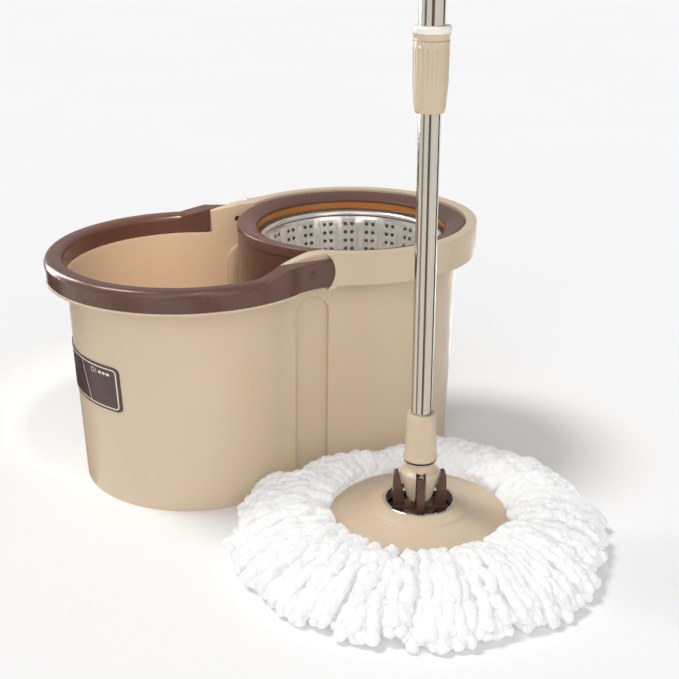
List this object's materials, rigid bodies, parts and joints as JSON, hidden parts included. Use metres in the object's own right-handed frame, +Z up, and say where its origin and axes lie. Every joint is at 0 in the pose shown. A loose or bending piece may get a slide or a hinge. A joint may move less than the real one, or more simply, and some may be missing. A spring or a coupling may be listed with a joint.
{
  "type": "spin mop",
  "caption": "Two-lobed mop bucket with a carrying handle and a steel spin-dry basket, and a press-to-spin mop with a round fringed head on a telescopic steel pole.",
  "frame": {"origin": "on the floor under the middle of the bucket, on its centre foot rib", "axes": "+Z up, +X along the bucket from the wash lobe to the spin lobe; the mop stands on the -Y side"},
  "size_m": [0.438, 0.54, 1.187],
  "materials": {
    "beige": "satin moulded polypropylene",
    "brown": "satin dark brown plastic",
    "amber": "glossy amber brown plastic",
    "label": "matt printed foil",
    "dark": "matt",
    "cream": "satin",
    "nylon": "matt natural nylon",
    "stainless": "brushed stainless steel",
    "bright_steel": "polished",
    "microfibre": "soft looped microfibre"
  },
  "bodies": {
    "bucket": {"bucket_body": "beige", "splash_guard": "brown", "guard_liner": "amber", "label_plate": "label", "basket_post": "cream", "post_screws": "bright_steel", "basket_shaft": "bright_steel", "thrust_washer": "nylon", "shaft_clip": "bright_steel", "handle_pins": "brown"},
    "handle": {"carrying_handle": "brown"},
    "basket": {"basket_shell": "stainless", "hub_top": "beige", "hub_bottom": "cream", "hub_bushes": "nylon", "hub_screws": "bright_steel"},
    "mop_head": {"mop_disc": "beige", "disc_race": "bright_steel", "race_balls": "bright_steel", "fringe_ring": "cream", "mop_fringe": "microfibre"},
    "swivel": {"swivel_base": "dark", "claw": "brown", "tilt_pin": "bright_steel"},
    "lower_pole": {"yoke": "beige", "seal_ring": "dark", "lower_sleeve": "beige", "sleeve_screw": "bright_steel", "lower_tube": "stainless", "nut_housing": "nylon", "drive_nut": "nylon", "clutch_spring": "bright_steel", "nut_retainer": "nylon"},
    "slider": {"collar_bush": "nylon"},
    "upper_pole": {"twisted_bar": "bright_steel", "bar_anchor": "nylon", "upper_tube": "stainless", "collar_ring": "cream", "hand_grip": "beige", "end_cap": "beige"},
    "lock_collar": {"collar_body": "beige"}
  },
  "joints": [
    {"name": "basket_spin", "type": "hinge", "parent": "bucket", "child": "basket", "pos_m": [0.076, 0, 0.12], "axis": [0, 0, 1], "continuous": true},
    {"name": "handle_swing", "type": "hinge", "parent": "bucket", "child": "handle", "pos_m": [-0.012, 0, 0.2185], "axis": [0, 1, 0], "range_deg": [0, 95]},
    {"name": "mop_lift", "type": "slide", "parent": "bucket", "child": "mop_head", "axis": [0, -0.342, 0.9397], "range_m": [0, 0.3]},
    {"name": "head_swivel", "type": "hinge", "parent": "mop_head", "child": "swivel", "pos_m": [0.038, -0.233, 0.027], "axis": [0, 0, 1], "continuous": true},
    {"name": "handle_tilt", "type": "hinge", "parent": "swivel", "child": "lower_pole", "pos_m": [0.038, -0.233, 0.05], "axis": [0.9164, -0.4003, 0], "range_deg": [-25, 70]},
    {"name": "pole_stroke", "type": "slide", "parent": "lower_pole", "child": "slider", "axis": [0, 0, 1], "range_m": [-0.25, 0]},
    {"name": "pole_twist", "type": "hinge", "parent": "slider", "child": "upper_pole", "pos_m": [0.038, -0.233, 0.387], "axis": [0, 0, 1], "range_deg": [-751, 0]},
    {"name": "lock_twist", "type": "hinge", "parent": "upper_pole", "child": "lock_collar", "pos_m": [0.038, -0.233, 0.41], "axis": [0, 0, 1], "range_deg": [0, 40]}
  ],
  "couplings": [
    {"joint": "pole_twist", "follows": "pole_stroke", "rad_per_m": 52.36}
  ]
}
